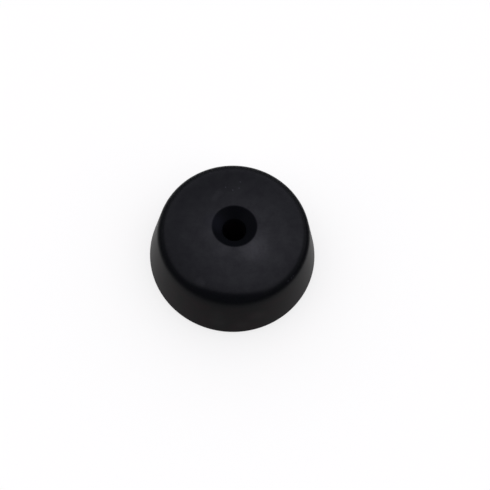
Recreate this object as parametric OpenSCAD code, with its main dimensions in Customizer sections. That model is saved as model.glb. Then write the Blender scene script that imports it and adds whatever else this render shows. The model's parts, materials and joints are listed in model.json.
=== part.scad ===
// Vibration mount: one round block of moulded rubber, held down by a countersunk screw.
//
// The mount is a solid of revolution about Z. It stands on its wide base, at z = 0, and its
// narrow face looks up. Its shape is one half section with five corners, three of them rounded,
// drawn with the distance from the axis along X and the height along Y, then turned round Z.

/* [Body] */
// Diameter over the base, where the mount is widest
base_d = 40; // [36:0.5:60]
// Diameter of the narrow face, out to where the wall would meet it if that edge were sharp
face_d = 32; // [28:0.5:36]
// Height from the seat to the narrow face
height = 14.5; // [11:0.5:20]

/* [Edges] */
// Radius of the large rounded edge between the narrow face and the wall
shoulder_r = 4.5; // [1:0.25:5.5]
// Radius of the small edge between the wall and the seat
heel_r = 0.4; // [0.1:0.1:1]
// Radius of the soft lip round the mouth of the countersink
lip_r = 0.3; // [0.1:0.1:0.6]

/* [Screw hole] */
// Diameter of the straight hole, with clearance for an M5 screw
bore_d = 5.3; // [3:0.1:8]
// Diameter of the countersink at the narrow face, out to where its lip would be sharp
sink_d = 9.5; // [9:0.1:12]
// Full angle of the countersink's cone, in degrees
sink_angle = 90; // [80:1:120]

/* [Hidden] */

// Sides drawn for a full circle in a preview
$fn = 120;

rubber_black = "#1d1d1f";

// Corners of the half section, each as [distance from the axis, height]
bore_foot = [bore_d / 2, 0];
shoulder = [face_d / 2, height];
lip = [sink_d / 2, height];
sink_depth = (sink_d - bore_d) / 2 / tan(sink_angle / 2);
bore_mouth = [bore_d / 2, height - sink_depth];

// The wall leans out from the shoulder until it just touches the outside of the heel's arc, whose
// widest point is the base's diameter. The heel's corner is where that wall would reach the seat.
heel_centre = [base_d / 2 - heel_r, heel_r];
heel_offset = heel_centre - shoulder;
wall_lean = atan(-heel_offset[0] / heel_offset[1]) + asin(heel_r / norm(heel_offset));
heel = [face_d / 2 + height * tan(wall_lean), 0];

// An arc stands this far proud of its corner's two sides, so that it surely crosses them
arc_overlap = 0.0005;

function polar(length, angle) = length * [cos(angle), sin(angle)];

// Direction from one point to another, in degrees round from the X axis
function heading(from, to) = atan2(to[1] - from[1], to[0] - from[0]);

// What comes off a sharp corner to leave an arc of radius r that runs smoothly into both of the
// corner's straight sides. The sides go off towards the points end_a and end_b.
module corner_waste(corner, end_a, end_b, r) {
    heading_a = heading(corner, end_a);
    // Angle from one side to the other through the material, with the sign of the way round
    turn = (heading(corner, end_b) - heading_a + 540) % 360 - 180;
    half_angle = abs(turn) / 2;
    inward = heading_a + turn / 2;
    outward = inward + 180;
    centre_distance = r / sin(half_angle);
    // Seen from its centre, the arc meets a side this far round from the corner
    meeting_angle = 90 - half_angle;

    translate(corner + polar(centre_distance, inward))
        difference() {
            // A kite from the centre past the corner, twice as large as the corner needs
            polygon([
                [0, 0],
                polar(2 * r, outward - meeting_angle),
                polar(2 * centre_distance, outward),
                polar(2 * r, outward + meeting_angle)
            ]);
            circle(r = r + arc_overlap);
        }
}

// Half of the mount's section, from the wall of its hole out to its side wall
module half_section() {
    difference() {
        polygon([bore_foot, heel, shoulder, lip, bore_mouth]);
        corner_waste(heel, bore_foot, shoulder, heel_r);
        corner_waste(shoulder, heel, lip, shoulder_r);
        corner_waste(lip, shoulder, bore_mouth, lip_r);
    }
}

module rubber_mount() {
    color(rubber_black)
        rotate_extrude()
            half_section();
}

rubber_mount();
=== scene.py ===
# %% [markdown]
# # A rubber vibration mount
# The part is one round block of moulded rubber. A machine stands on several of them, and each is
# held by a screw that goes down through its middle. This lesson gives the plain CAD solid a finer
# skin, a black rubber surface, a pale floor and soft light.
#
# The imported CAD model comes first. The object could be measured again by hand, but the model already
# says where it is and how big it is. Nothing here moves it, and every later size is worked out from
# it or named beside it.

# %% Load the fixed frame
import json
import math

import bpy
from mathutils import Matrix, Vector


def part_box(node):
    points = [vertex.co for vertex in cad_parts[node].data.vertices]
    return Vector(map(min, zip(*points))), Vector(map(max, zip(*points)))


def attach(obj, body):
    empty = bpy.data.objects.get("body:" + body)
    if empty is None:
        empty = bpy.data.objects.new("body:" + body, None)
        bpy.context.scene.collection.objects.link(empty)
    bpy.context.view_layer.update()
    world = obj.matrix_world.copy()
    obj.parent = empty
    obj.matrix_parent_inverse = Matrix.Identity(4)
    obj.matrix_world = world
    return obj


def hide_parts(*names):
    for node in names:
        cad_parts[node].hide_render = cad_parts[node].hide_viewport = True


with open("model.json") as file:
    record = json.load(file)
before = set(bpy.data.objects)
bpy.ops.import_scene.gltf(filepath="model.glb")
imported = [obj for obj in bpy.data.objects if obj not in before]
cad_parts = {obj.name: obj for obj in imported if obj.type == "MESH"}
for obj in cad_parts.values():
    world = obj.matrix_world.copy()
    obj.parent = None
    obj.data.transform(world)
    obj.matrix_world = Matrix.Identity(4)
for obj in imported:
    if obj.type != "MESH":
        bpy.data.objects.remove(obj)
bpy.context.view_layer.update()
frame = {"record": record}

MM = 0.001
NODE = "rubber_mount"

low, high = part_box(NODE)
print("the mount is", [round(side / MM, 2) for side in high - low], "mm")

# %% [markdown]
# ## Sizes
# The mount is a solid of revolution, so its whole shape is one half section: a closed outline with
# five corners. The outer sizes come from the CAD box, and the hole comes from the screw hole that
# the record states. The other four are the same round numbers that the drawing of the part has.

# %% Read and name the sizes
screw_hole = next(m for m in frame["record"]["mounts"] if m["name"] == "screw_hole")

base_radius = (high.x - low.x) / 2
height = high.z
face_radius = 16 * MM
shoulder_radius = 4.5 * MM
heel_radius = 0.4 * MM
lip_radius = 0.3 * MM
bore_radius = screw_hole["dims"]["r_mm"] * MM
sink_depth = height - screw_hole["dims"]["length_mm"] * MM
sink_radius = bore_radius + sink_depth      # the cone opens at 45 degrees

# The wall leans until it touches the outside of the heel's arc, whose widest point is the base
heel_x = base_radius - heel_radius - face_radius
heel_z = height - heel_radius
wall_lean = math.atan(heel_x / heel_z) + math.asin(heel_radius / math.hypot(heel_x, heel_z))
heel_corner_radius = face_radius + height * math.tan(wall_lean)
print("the wall leans", round(math.degrees(wall_lean), 2), "degrees")

# %% [markdown]
# ## The rubber body
# A body like this is moulded in one shot, in a tool turned on a lathe. It could be drawn as an
# outline and spun by a Screw modifier, but then every rounding would be a point placed by hand.
# Geometry Nodes do it from sizes. Five points are joined into a closed outline, Fillet Curve rounds
# each corner by its own radius, and Curve to Mesh carries the outline round a circle. The sizes are
# inputs of the tree, so each one can be turned up or down by itself.
#
# Long straight runs are cut into short steps, because smooth shading spreads the tilt of an arc's
# last step over the whole face beside it, and a short face keeps that out of sight.

# %% A helper that adds one node with its settings and links
def add_node(tree, kind, settings=None, inputs=None):
    node = tree.nodes.new(kind)
    for name, value in (settings or {}).items():
        setattr(node, name, value)
    for name, value in (inputs or {}).items():
        if isinstance(value, bpy.types.NodeSocket):
            tree.links.new(value, node.inputs[name])
        else:
            node.inputs[name].default_value = value
    return node


print("nodes are added by", add_node.__name__)

# %% The tree's named inputs
lathe = bpy.data.node_groups.new("Turned rubber body", "GeometryNodeTree")
lathe_sizes = {
    "Base corner radius": heel_corner_radius,
    "Face radius": face_radius,
    "Height": height,
    "Bore radius": bore_radius,
    "Sink radius": sink_radius,
    "Sink depth": sink_depth,
    "Heel rounding": heel_radius,
    "Shoulder rounding": shoulder_radius,
    "Lip rounding": lip_radius,
    "Bore edge rounding": 0.1 * MM,
    "Longest step": 0.9 * MM,
}
lathe_counts = {"Steps round": 240, "Steps in an arc": 14}
for name in lathe_sizes:
    lathe.interface.new_socket(name, in_out="INPUT", socket_type="NodeSocketFloat")
for name in lathe_counts:
    lathe.interface.new_socket(name, in_out="INPUT", socket_type="NodeSocketInt")
lathe.interface.new_socket("Material", in_out="INPUT", socket_type="NodeSocketMaterial")
lathe.interface.new_socket("Geometry", in_out="OUTPUT", socket_type="NodeSocketGeometry")
size = add_node(lathe, "NodeGroupInput").outputs
print("the lathe takes", len(lathe_sizes), "sizes and", len(lathe_counts), "counts")

# %% The outline's five corners
# The outline is drawn from the path that it will follow, a circle of half the base's radius, so a
# corner's X is its distance beyond that circle. Curve to Mesh turns Y to point down, so each height
# is multiplied by -1.
path_radius = base_radius / 2
sink_bottom = add_node(
    lathe,
    "ShaderNodeMath",
    {"operation": "SUBTRACT"},
    {0: size["Height"], 1: size["Sink depth"]},
).outputs["Value"]
corner_places = [
    (size["Bore radius"], 0.0),
    (size["Base corner radius"], 0.0),
    (size["Face radius"], size["Height"]),
    (size["Sink radius"], size["Height"]),
    (size["Bore radius"], sink_bottom),
]
corner_roundings = [
    size["Bore edge rounding"],
    size["Heel rounding"],
    size["Shoulder rounding"],
    size["Lip rounding"],
    size["Bore edge rounding"],
]
corner_index = add_node(lathe, "GeometryNodeInputIndex").outputs["Index"]
place_switch = add_node(
    lathe,
    "GeometryNodeIndexSwitch",
    {"data_type": "VECTOR"},
    {"Index": corner_index},
)
rounding_switch = add_node(
    lathe,
    "GeometryNodeIndexSwitch",
    {"data_type": "FLOAT"},
    {"Index": corner_index},
)
for switch in (place_switch, rounding_switch):
    while len(switch.index_switch_items) < len(corner_places):
        switch.index_switch_items.new()
for number, (radius, rise) in enumerate(corner_places):
    corner = add_node(lathe, "ShaderNodeCombineXYZ", None, {"X": radius, "Y": rise})
    place = add_node(
        lathe,
        "ShaderNodeVectorMath",
        {"operation": "MULTIPLY_ADD"},
        {0: corner.outputs["Vector"], 1: (1, -1, 1), 2: (-path_radius, 0, 0)},
    )
    lathe.links.new(place.outputs["Vector"], place_switch.inputs[str(number)])
    lathe.links.new(corner_roundings[number], rounding_switch.inputs[str(number)])
print("the outline has", len(corner_places), "corners")

# %% Join the corners, round them and cut the straight runs
points = add_node(lathe, "GeometryNodeMeshLine", None, {"Count": len(corner_places)})
placed = add_node(
    lathe,
    "GeometryNodeSetPosition",
    None,
    {"Geometry": points.outputs["Mesh"], "Position": place_switch.outputs["Output"]},
)
line = add_node(lathe, "GeometryNodeMeshToCurve", None, {"Mesh": placed.outputs["Geometry"]})
outline = add_node(
    lathe, "GeometryNodeSetSplineCyclic", None, {"Geometry": line.outputs["Curve"], "Cyclic": True}
)
rounded = add_node(
    lathe,
    "GeometryNodeFilletCurve",
    {"mode": "POLY"},
    {
        "Curve": outline.outputs["Geometry"],
        "Radius": rounding_switch.outputs["Output"],
        "Count": size["Steps in an arc"],
    },
)
here = add_node(lathe, "GeometryNodeInputPosition").outputs["Position"]
neighbour = add_node(lathe, "GeometryNodeOffsetPointInCurve", None, {"Offset": 1}).outputs["Point Index"]
there = add_node(
    lathe, "GeometryNodeFieldAtIndex", {"data_type": "FLOAT_VECTOR"}, {"Index": neighbour, "Value": here}
).outputs["Value"]
run = add_node(lathe, "ShaderNodeVectorMath", {"operation": "DISTANCE"}, {0: here, 1: there}).outputs["Value"]
steps = add_node(
    lathe,
    "ShaderNodeMath",
    {"operation": "DIVIDE"},
    {0: run, 1: size["Longest step"]},
).outputs["Value"]
cuts = add_node(
    lathe,
    "FunctionNodeFloatToInt",
    {"rounding_mode": "FLOOR"},
    {"Float": steps},
).outputs["Integer"]
stepped = add_node(
    lathe, "GeometryNodeSubdivideCurve", None, {"Curve": rounded.outputs["Curve"], "Cuts": cuts}
)
print("the outline is rounded and stepped")

# %% Carry the outline round the axis
path = add_node(
    lathe,
    "GeometryNodeCurvePrimitiveCircle",
    {"mode": "RADIUS"},
    {"Resolution": size["Steps round"], "Radius": path_radius},
)
turned = add_node(
    lathe,
    "GeometryNodeCurveToMesh",
    None,
    {"Curve": path.outputs["Curve"], "Profile Curve": stepped.outputs["Curve"]},
)
smooth = add_node(lathe, "GeometryNodeSetShadeSmooth", None, {"Geometry": turned.outputs["Mesh"]})
realized = add_node(
    lathe, "GeometryNodeRealizeInstances", None, {"Geometry": smooth.outputs["Geometry"]}
)
finished = add_node(
    lathe,
    "GeometryNodeSetMaterial",
    None,
    {"Geometry": realized.outputs["Geometry"], "Material": size["Material"]},
)
add_node(lathe, "NodeGroupOutput", None, {"Geometry": finished.outputs["Geometry"]})
print("the lathe has", len(lathe.nodes), "nodes")

# %% [markdown]
# ## Black rubber
# The real material is rubber filled with carbon black and moulded in a steel tool. The carbon
# swallows nearly all the light that goes in, so what the eye sees is a weak, soft reflection of the
# room. Two layers give that. The skin is the rubber itself, almost without shine. The coat is the
# bloom, a thin waxy film that rises out of moulded rubber and takes a soft polish from handling. It
# lies on the upper face, there is only a trace of it on the wall, and it is missing in the
# countersink.
#
# One plain dark grey could stand for it all, but it would look like painted plastic. The nodes below
# read only the place of each point on the body, so the finish stays on it wherever the body goes.

# %% Read a colour
def linear(hex_colour):
    channels = [int(hex_colour[i:i + 2], 16) / 255 for i in (1, 3, 5)]
    return [c / 12.92 if c <= 0.04045 else ((c + 0.055) / 1.055) ** 2.4 for c in channels] + [1.0]


print("mid grey is", round(linear("#808080")[0], 3), "in linear light")

# %% Where each point lies
rubber = bpy.data.materials.new("Black carbon-filled rubber, moulded")
rubber.use_nodes = True
rubber.node_tree.nodes.clear()
rt = rubber.node_tree
place = add_node(rt, "ShaderNodeTexCoord").outputs["Object"]
rise = add_node(rt, "ShaderNodeSeparateXYZ", None, {"Vector": place}).outputs["Z"]
flat = add_node(rt, "ShaderNodeVectorMath", {"operation": "MULTIPLY"}, {0: place, 1: (1, 1, 0)})
from_axis = add_node(rt, "ShaderNodeVectorMath", {"operation": "LENGTH"}, {0: flat.outputs["Vector"]})
face_cloud_size = 2.5 * MM
wall_cloud_size = 3.5 * MM
cloud_detail = 5.0
cloud_roughness = 0.78
face_cloud, wall_cloud = [
    add_node(
        rt,
        "ShaderNodeTexNoise",
        {"noise_dimensions": "3D"},
        {
            "Vector": place,
            "Scale": 1 / cloud_size,
            "Detail": cloud_detail,
            "Roughness": cloud_roughness,
        },
    ).outputs["Fac"]
    for cloud_size in (face_cloud_size, wall_cloud_size)
]
print("the clouds in the face are", round(face_cloud_size / MM, 1), "mm wide")

# %% [markdown]
# ### The colour of the skin
# The black is not the same all over. The upper face and its rounded edge have a cold, violet black,
# and the wall has a warmer one. This split by height is painted reflection: it stands for the cool
# light overhead that the face mirrors and the warm floor that the wall mirrors. Each part wanders
# slowly between two close shades, as an uneven mix does, and that is the rubber's own tone. A noise
# picks between the shades, since real clouds like these have no order, and the height of the point
# picks the pair.

# %% Mix the skin colour
# face_shades and wall_shades differ by a painted tint of mirrored light: cold on the face, warm on the wall
face_shades = ("#0b0b0e", "#0a0c0d")
wall_shades = ("#070a0a", "#160f11")
turn_low = 9.0 * MM
turn_high = 11.5 * MM
cloud_low = 0.35
cloud_high = 0.65
blacks = []
for cloud, (first, second) in ((wall_cloud, wall_shades), (face_cloud, face_shades)):
    spread = add_node(
        rt,
        "ShaderNodeMapRange",
        None,
        {"Value": cloud, "From Min": cloud_low, "From Max": cloud_high},
    ).outputs["Result"]
    blacks.append(
        add_node(
            rt,
            "ShaderNodeMix",
            {"data_type": "RGBA"},
            {"Factor": spread, "A": linear(first), "B": linear(second)},
        ).outputs["Result"]
    )
above_wall = add_node(
    rt,
    "ShaderNodeMapRange",
    {"interpolation_type": "SMOOTHSTEP"},
    {"Value": rise, "From Min": turn_low, "From Max": turn_high},
).outputs["Result"]
black = add_node(
    rt,
    "ShaderNodeMix",
    {"data_type": "RGBA"},
    {"Factor": above_wall, "A": blacks[0], "B": blacks[1]},
).outputs["Result"]
print("the skin runs between", len(wall_shades) + len(face_shades), "shades of black")

# %% [markdown]
# ### Dust
# A few grains of pale dust are stuck to the back of the face and three to its rounded front edge.
# They could be tiny meshes, but dust this thin has no height that shows. So each is a small ball of
# space, centred on the skin, in which the dust colour replaces the black.

# %% Find the skin's height at a place on the upper face
shoulder_turn = math.pi / 2 - wall_lean
flat_radius = face_radius - shoulder_radius * math.tan(shoulder_turn / 2)


def face_place(x_mm, y_mm):
    x, y = x_mm * MM, y_mm * MM
    beyond = max(math.hypot(x, y) - flat_radius, 0)
    drop = shoulder_radius - math.sqrt(shoulder_radius ** 2 - beyond ** 2)
    return Vector((x, y, height - drop))


print("the face is flat to", round(flat_radius / MM, 1), "mm from its middle")

# %% Add the grains of dust
dust_colour = "#2c2c30"
dust_radius = 0.13 * MM
dust_at = [
    (-7.2, 12.4),
    (-0.1, 10.9),
    (-0.2, 9.3),
    (-1.5, 8.6),
    (-3.2, 9.1),
    (13.4, -9.4),
    (13.7, -8.9),
    (12.7, -10.2),
]
coloured = black
for x_mm, y_mm in dust_at:
    gap = add_node(
        rt,
        "ShaderNodeVectorMath",
        {"operation": "DISTANCE"},
        {0: place, 1: face_place(x_mm, y_mm)},
    ).outputs["Value"]
    inside = add_node(
        rt,
        "ShaderNodeMath",
        {"operation": "LESS_THAN"},
        {0: gap, 1: dust_radius},
    ).outputs["Value"]
    coloured = add_node(
        rt,
        "ShaderNodeMix",
        {"data_type": "RGBA"},
        {"Factor": inside, "A": coloured, "B": linear(dust_colour)},
    ).outputs["Result"]
print(len(dust_at), "grains of dust")

# %% [markdown]
# ### The countersink
# The left side of the countersink is drawn a little greyer than the rest, as painted reflection: it
# stands for the light that this side of the cone mirrors. More coat would mirror the light as a hard
# streak, so it is drawn as a soft spot of a greyer black. A spot is full near its centre and fades to
# nothing.

# %% Paint light on the left side of the countersink
def soft_spot(centre, full, gone, most):
    gap = add_node(
        rt,
        "ShaderNodeVectorMath",
        {"operation": "DISTANCE"},
        {0: place, 1: centre},
    ).outputs["Value"]
    return add_node(
        rt,
        "ShaderNodeMapRange",
        {"interpolation_type": "SMOOTHSTEP"},
        {"Value": gap, "From Min": gone, "From Max": full, "To Max": most},
    ).outputs["Result"]


# Painted reflection: a greyer spot that lightens the left side of the countersink
countersink_light_colour = "#121317"
countersink_light_at = Vector((-4.2, 0.6, 13.6)) * MM
countersink_light_full = 0.5 * MM
countersink_light_gone = 3.2 * MM
countersink_lit = soft_spot(countersink_light_at, countersink_light_full, countersink_light_gone, 1.0)
coloured = add_node(
    rt,
    "ShaderNodeMix",
    {"data_type": "RGBA"},
    {"Factor": countersink_lit, "A": coloured, "B": linear(countersink_light_colour)},
).outputs["Result"]
print("the smudge is", round(2 * countersink_light_gone / MM, 1), "mm wide")

# %% [markdown]
# ### The bloom
# The bloom is drawn as a weight of the coat. It starts even, and rubbed places are added to it: a
# wide one that makes the right of the face brighter than the back and the left, a small bright one
# at the front right of the hole, and some faint marks. What rubbed them isn't known. It could all be
# painted by hand, but soft round places need only a few sizes and stay smooth at any zoom.
#
# Each place is a centre on the face in mm, the distance up to which it is full, the distance at
# which it is gone, and the weight it adds.

# %% Weigh the bloom
def add_spots(weight, spots, find_place):
    for where, full, gone, added in spots:
        spot = soft_spot(find_place(*where), full * MM, gone * MM, added)
        weight = add_node(
            rt,
            "ShaderNodeMath",
            {"operation": "ADD"},
            {0: weight, 1: spot},
        ).outputs["Value"]
    return weight


bloom_weight = 0.14
rubbed_places = [
    ((3.5, -3.0), 4.0, 18.5, 0.19),
    ((-11.0, -1.0), 1.0, 9.0, 0.04),
    ((4.8, -4.5), 0.5, 4.4, 0.34),
    ((6.0, -1.2), 0.3, 2.6, 0.08),
    ((1.4, -6.0), 0.3, 2.6, 0.04),
    ((-2.1, -5.6), 0.3, 2.8, 0.12),
    ((-5.2, -2.6), 0.3, 2.6, 0.07),
    ((-4.4, 7.4), 0.2, 1.2, 0.07),
    ((-5.2, 6.1), 0.2, 1.2, 0.07),
    ((-5.4, -13.4), 0.3, 1.6, 0.10),
]
weight = add_spots(bloom_weight, rubbed_places, face_place)
print(len(rubbed_places), "rubbed places")

# %% [markdown]
# ### Where the bloom ends
# The bloom is a little cloudy, it fades out where the rounded edge turns down, and it stops just
# outside the countersink. These are edges that wear would reach first. Each of the three is a share
# between 0 and 1, or close to 1, and the weight is multiplied by all of them.

# %% Cloud the bloom and keep it on the upper face
mottle_low = 0.80
mottle_high = 1.20
worn_from = 12.3 * MM
worn_to = 13.9 * MM
rim_width = 0.35 * MM
on_face = add_node(
    rt,
    "ShaderNodeMapRange",
    {"interpolation_type": "SMOOTHSTEP"},
    {"Value": rise, "From Min": worn_from, "From Max": worn_to},
).outputs["Result"]
outside_hole = add_node(
    rt,
    "ShaderNodeMapRange",
    {"interpolation_type": "SMOOTHSTEP"},
    {
        "Value": from_axis.outputs["Value"],
        "From Min": sink_radius,
        "From Max": sink_radius + rim_width,
    },
).outputs["Result"]
mottle = add_node(
    rt,
    "ShaderNodeMapRange",
    None,
    {
        "Value": face_cloud,
        "From Min": cloud_low,
        "From Max": cloud_high,
        "To Min": mottle_low,
        "To Max": mottle_high,
    },
).outputs["Result"]
for share in (mottle, on_face, outside_hole):
    weight = add_node(
        rt,
        "ShaderNodeMath",
        {"operation": "MULTIPLY"},
        {0: weight, 1: share},
    ).outputs["Value"]
print("the bloom ends", round(worn_from / MM, 1), "mm above the floor")

# %% [markdown]
# ### The wall's uneven shine
# The wall's shine is a little uneven, as it can be where rubber was drawn out of its tool. A trace of
# the same coat stands for it, in slow clouds, from nothing to less than two hundredths of a full
# coat. Four paler marks low on the front are added in the same way as the rubbed places on the face.
# They could be left to the clouds too, but those fall by chance.
#
# Each mark is a turn round the axis in degrees and a height in mm, the distance up to which it is
# full, the distance at which it is gone, and the weight it adds.

# %% Add a trace of shine to the wall
wall_shine = 0.015
patches = add_node(
    rt,
    "ShaderNodeMapRange",
    None,
    {"Value": wall_cloud, "From Min": cloud_high, "From Max": cloud_low, "To Max": wall_shine},
).outputs["Result"]
below_face = add_node(
    rt,
    "ShaderNodeMath",
    {"operation": "SUBTRACT"},
    {0: 1.0, 1: above_wall},
).outputs["Value"]
weight = add_node(
    rt,
    "ShaderNodeMath",
    {"operation": "MULTIPLY_ADD"},
    {0: patches, 1: below_face, 2: weight},
).outputs["Value"]
print("the wall has up to", wall_shine, "of a coat")

# %% Add the paler marks on the front of the wall
def wall_place(turn_degrees, z_mm):
    turn = math.radians(turn_degrees)
    z = z_mm * MM
    radius = face_radius + (height - z) * math.tan(wall_lean)
    return Vector((radius * math.cos(turn), radius * math.sin(turn), z))


wall_marks = [
    ((-94, 7.2), 0.3, 2.4, 0.020),
    ((-93, 4.2), 0.3, 3.0, 0.030),
    ((-66, 6.2), 0.3, 2.8, 0.026),
    ((-77, 3.4), 0.3, 2.4, 0.020),
]
weight = add_spots(weight, wall_marks, wall_place)
print(len(wall_marks), "paler marks on the wall")

# %% [markdown]
# ### The grain
# Most moulding tools are lightly blasted, which leaves a fine grain in the skin, of about 0.1 mm. It
# is drawn 0.35 mm wide, because a finer one would vanish between the pixels. A bump tilts the light
# on it. Real grains that small would cost millions of faces and look the same.

# %% Put the rubber together
grain_size = 0.35 * MM
grain_depth = 0.03 * MM
grain_strength = 0.15
grain_detail = 2.0
grain_roughness = 0.5
skin_roughness = 0.37
bloom_roughness = 0.28
rubber_ior = 1.5
skin_shine = 0.017
grain = add_node(
    rt,
    "ShaderNodeTexNoise",
    {"noise_dimensions": "3D"},
    {
        "Vector": place,
        "Scale": 1 / grain_size,
        "Detail": grain_detail,
        "Roughness": grain_roughness,
    },
)
bump = add_node(
    rt,
    "ShaderNodeBump",
    None,
    {"Strength": grain_strength, "Distance": grain_depth, "Height": grain.outputs["Fac"]},
)
surface = add_node(
    rt,
    "ShaderNodeBsdfPrincipled",
    None,
    {
        "Base Color": coloured,
        "Roughness": skin_roughness,
        "IOR": rubber_ior,
        "Specular IOR Level": skin_shine,
        "Normal": bump.outputs["Normal"],
        "Coat Weight": weight,
        "Coat Roughness": bloom_roughness,
        "Coat IOR": rubber_ior,
        "Coat Normal": bump.outputs["Normal"],
    },
)
add_node(rt, "ShaderNodeOutputMaterial", None, {"Surface": surface.outputs["BSDF"]})
print("the rubber has", len(rt.nodes), "nodes")

# %% [markdown]
# ## Make the body and put it in the frame
# The lathe could stay on the body as a live modifier, but the export and the other tools want a plain
# mesh. So it runs on an empty carrier object, which is thrown away once its mesh has been taken. The
# mesh lies where the mount stands in the shared frame, so the object itself stays at the origin. The
# body takes the place of the CAD solid and moves with it.

# %% Run the lathe
def make_piece(name, tree, values, material):
    carrier = bpy.data.objects.new(name + "_carrier", bpy.data.meshes.new(name + "_empty"))
    bpy.context.scene.collection.objects.link(carrier)
    modifier = carrier.modifiers.new("build", "NODES")
    modifier.node_group = tree
    sockets = {s.name: s.identifier for s in tree.interface.items_tree if s.in_out == "INPUT"}
    for socket_name, value in values.items():
        modifier[sockets[socket_name]] = value
    modifier[sockets["Material"]] = material
    evaluated = carrier.evaluated_get(bpy.context.evaluated_depsgraph_get())
    mesh = bpy.data.meshes.new_from_object(evaluated)
    bpy.data.objects.remove(carrier)
    mesh.name = name
    piece = bpy.data.objects.new(name, mesh)
    bpy.context.scene.collection.objects.link(piece)
    return piece


body = make_piece("rubber_body", lathe, {**lathe_sizes, **lathe_counts}, rubber)
print("the body has", len(body.data.polygons), "faces")

# %% Turn its faces outward and measure it
def signed_volume(mesh):
    mesh.calc_loop_triangles()
    corners = [[mesh.vertices[i].co for i in t.vertices] for t in mesh.loop_triangles]
    return sum(a.dot(b.cross(c)) for a, b, c in corners) / 6


if signed_volume(body.data) < 0:
    body.data.flip_normals()
print("the body holds", round(signed_volume(body.data) / MM ** 3), "mm3")

# %% Place it
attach(body, "root")
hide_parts(NODE)
print("the body rides on root and stands in for", NODE)

# %% [markdown]
# ## The floor
# The mount stands on a wide sheet of matt white paper. More light could whiten the paper, but it
# would bleach the mount too. Instead a share of the paper is plain white to the camera and to
# mirrored rays, and the rest is lit like everything else, so the mount keeps a soft shadow.

# %% Lay the paper
floor_side = 4.0
white_share = 0.6
paper_colour = "#fdfdf0"
bpy.ops.mesh.primitive_plane_add(size=floor_side, location=(0, 0, 0))
floor = bpy.context.object
floor.name = "floor"
paper = bpy.data.materials.new("Matt white paper")
paper.use_nodes = True
paper.node_tree.nodes.clear()
pt = paper.node_tree
lit = add_node(pt, "ShaderNodeBsdfDiffuse", None, {"Color": linear(paper_colour)})
white = add_node(pt, "ShaderNodeEmission", None, {"Color": linear("#ffffff"), "Strength": 1.0})
rays = add_node(pt, "ShaderNodeLightPath").outputs
direct = rays["Is Camera Ray"]
for kind in ("Is Glossy Ray", "Is Transmission Ray"):
    direct = add_node(
        pt,
        "ShaderNodeMath",
        {"operation": "MAXIMUM"},
        {0: direct, 1: rays[kind]},
    ).outputs["Value"]
share = add_node(
    pt,
    "ShaderNodeMath",
    {"operation": "MULTIPLY"},
    {0: direct, 1: white_share},
).outputs["Value"]
sheet = add_node(
    pt,
    "ShaderNodeMixShader",
    None,
    {0: share, 1: lit.outputs["BSDF"], 2: white.outputs["Emission"]},
)
add_node(pt, "ShaderNodeOutputMaterial", None, {"Surface": sheet.outputs["Shader"]})
floor.data.materials.append(paper)
print("the floor is", floor_side, "m wide")

# %% [markdown]
# ## The black flags
# A photographer stands black card, called a flag, round a black object so that its edges mirror
# something dark and can be seen. Here a low ring of black felt stands round the mount. Only
# reflections see it, so it casts no shadow. It draws the dark band along the rounded edge. A disc of
# the same black felt at the bottom of the bore is painted shade: the camera sees it, and it makes the
# bore the plain dark hole that the real mount shows.

# %% Cut the felt
felt_colour = "#0a0a0a"
felt = bpy.data.materials.new("Black felt")
felt.use_nodes = True
felt.node_tree.nodes.clear()
ft = felt.node_tree
dark = add_node(ft, "ShaderNodeBsdfDiffuse", None, {"Color": linear(felt_colour)})
add_node(ft, "ShaderNodeOutputMaterial", None, {"Surface": dark.outputs["BSDF"]})


def ring_points(centre, half_width, half_depth, steps):
    angles = [i * math.tau / steps for i in range(steps)]
    return [
        centre + Vector((half_width * math.cos(a), half_depth * math.sin(a), 0))
        for a in angles
    ]


def add_felt(name, points, faces):
    mesh = bpy.data.meshes.new(name)
    mesh.from_pydata(points, [], faces)
    mesh.materials.append(felt)
    piece = bpy.data.objects.new(name, mesh)
    bpy.context.scene.collection.objects.link(piece)
    return piece


print("the felt is ready")

# %% Stand the ring and lay the disc
flag_half_width = 33 * MM
flag_half_depth = 46 * MM
flag_foot = Vector((-3.0, 0, 0.5)) * MM
flag_top = Vector((-3.0, 0, 11.5)) * MM
flag_steps = 96
flag_faces = [
    (i, (i + 1) % flag_steps, flag_steps + (i + 1) % flag_steps, flag_steps + i)
    for i in range(flag_steps)
]
foot = ring_points(flag_foot, flag_half_width, flag_half_depth, flag_steps)
top = ring_points(flag_top, flag_half_width, flag_half_depth, flag_steps)
flag = add_felt("flag", foot + top, flag_faces)
flag.visible_camera = False
flag.visible_diffuse = False
flag.visible_shadow = False
flag.visible_transmission = False

# The disc is painted shade: a black sheet, seen by the camera, that darkens the bottom of the bore
disc_overlap = 0.02 * MM
disc_radius = bore_radius + disc_overlap
disc_centre = Vector((0, 0, 0.6)) * MM
disc_steps = 48
disc = ring_points(disc_centre, disc_radius, disc_radius, disc_steps)
add_felt("bore_shade_disc", disc, [tuple(range(disc_steps))])
print("the ring is", round(2 * flag_half_depth / MM), "mm deep")

# %% [markdown]
# ## The light
# The light is one wide, even, soft box overhead, a little cold, as daylight is. Lamps could make it,
# but a black surface mirrors their edges, and a world has only the edges that it is given. The box
# ends in a soft edge above the floor at the sides, comes a little lower at the back, and fades out
# behind the camera. So the upper face mirrors the box, and the front of the rounded edge mirrors the
# dark room below it.
#
# A camera that looks over the edge of the floor sees plain white card. The rubber doesn't mirror the
# card, because that would light its dark edge.

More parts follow.
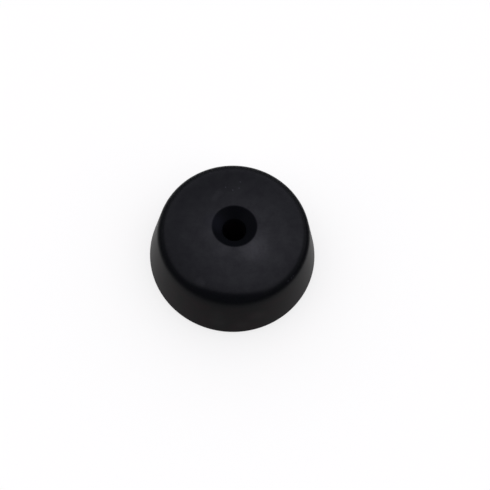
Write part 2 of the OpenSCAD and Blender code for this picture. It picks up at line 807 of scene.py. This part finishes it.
# %% Light the world
sky_colour = "#f1efff"
sky_level = 1.36
sky_start = 0.20
sky_full = 0.32
back_full = 0.6
back_drop = 0.08
front_dark = -0.75
front_full = -0.60
world = bpy.data.worlds.new("Soft studio")
bpy.context.scene.world = world
world.use_nodes = True
world.node_tree.nodes.clear()
wt = world.node_tree
compass = add_node(wt, "ShaderNodeTexCoord").outputs["Generated"]
toward = add_node(wt, "ShaderNodeSeparateXYZ", None, {"Vector": compass}).outputs
lowered = add_node(
    wt,
    "ShaderNodeMapRange",
    None,
    {"Value": toward["Y"], "From Max": back_full, "To Max": back_drop},
).outputs["Result"]
height_in_box = add_node(
    wt,
    "ShaderNodeMath",
    {"operation": "ADD"},
    {0: toward["Z"], 1: lowered},
).outputs["Value"]
overhead = add_node(
    wt,
    "ShaderNodeMapRange",
    {"interpolation_type": "SMOOTHSTEP"},
    {"Value": height_in_box, "From Min": sky_start, "From Max": sky_full, "To Max": sky_level},
).outputs["Result"]
not_front = add_node(
    wt,
    "ShaderNodeMapRange",
    {"interpolation_type": "SMOOTHSTEP"},
    {"Value": toward["Y"], "From Min": front_dark, "From Max": front_full},
).outputs["Result"]
glow = add_node(
    wt,
    "ShaderNodeMath",
    {"operation": "MULTIPLY"},
    {0: overhead, 1: not_front},
).outputs["Value"]
air = add_node(
    wt,
    "ShaderNodeBackground",
    None,
    {"Color": linear(sky_colour), "Strength": glow},
)
card = add_node(
    wt,
    "ShaderNodeBackground",
    None,
    {"Color": linear("#ffffff"), "Strength": 1.0},
)
seen = add_node(wt, "ShaderNodeLightPath").outputs["Is Camera Ray"]
shown = add_node(
    wt,
    "ShaderNodeMixShader",
    None,
    {0: seen, 1: air.outputs["Background"], 2: card.outputs["Background"]},
)
add_node(wt, "ShaderNodeOutputWorld", None, {"Surface": shown.outputs["Shader"]})
print("the soft box starts", round(math.degrees(math.asin(sky_start))), "degrees up")

# %% [markdown]
# ## The camera
# The camera looks down on the mount from the front, steeply and from close by, so the upper face is
# a broad oval and the wall narrows toward the floor. A long lens from farther off would show the
# wall less steeply. It is turned a little about its own axis, which tilts the mount in the view.

# %% Aim the camera
camera_at = Vector((2.75, -40.65, 102.3)) * MM
aim_at = Vector((2.75, 1.9, 0)) * MM
camera_roll = 7.36
sensor_width = 36.0
lens = 33.06
nearest = 5 * MM
camera_data = bpy.data.cameras.new("camera")
camera_data.sensor_width = sensor_width
camera_data.lens = lens
camera_data.clip_start = nearest
camera = bpy.data.objects.new("camera", camera_data)
bpy.context.scene.collection.objects.link(camera)
facing = (camera_at - aim_at).to_track_quat("Z", "Y").to_matrix().to_4x4()
roll = Matrix.Rotation(math.radians(camera_roll), 4, "Z")
camera.matrix_world = Matrix.Translation(camera_at) @ facing @ roll
bpy.context.scene.camera = camera
print("the camera is", round((camera_at - aim_at).length / MM), "mm from the spot it looks at")

# %% Show colours plainly
bpy.context.scene.view_settings.view_transform = "Standard"
print("view transform:", bpy.context.scene.view_settings.view_transform)
